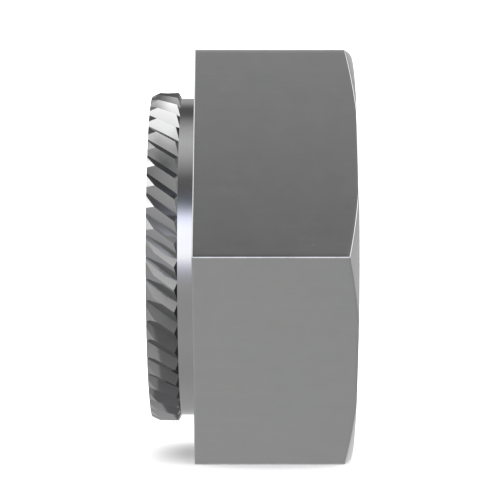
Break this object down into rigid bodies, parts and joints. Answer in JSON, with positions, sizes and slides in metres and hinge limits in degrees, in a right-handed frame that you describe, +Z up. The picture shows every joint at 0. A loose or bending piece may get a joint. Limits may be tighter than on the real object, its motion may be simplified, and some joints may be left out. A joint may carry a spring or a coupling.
{
  "type": "self clinching nut",
  "caption": "Hexagonal self clinching nut: a knurled ring on an undercut shank is pressed into a sheet metal hole and holds a threaded hole for a screw.",
  "frame": {"origin": "on the thread axis, in the plane of the shoulder that bears on the sheet", "axes": "+X along the thread axis from the shank end to the free end of the hexagon, +Y through a corner of the hexagon, +Z up, square to the hexagon flat that the nut lies on"},
  "size_m": [0.0065, 0.015, 0.013],
  "materials": {
    "steel": "machined steel with a thin bright zinc plating, satin"
  },
  "bodies": {
    "root": {"nut": "steel"}
  },
  "joints": []
}
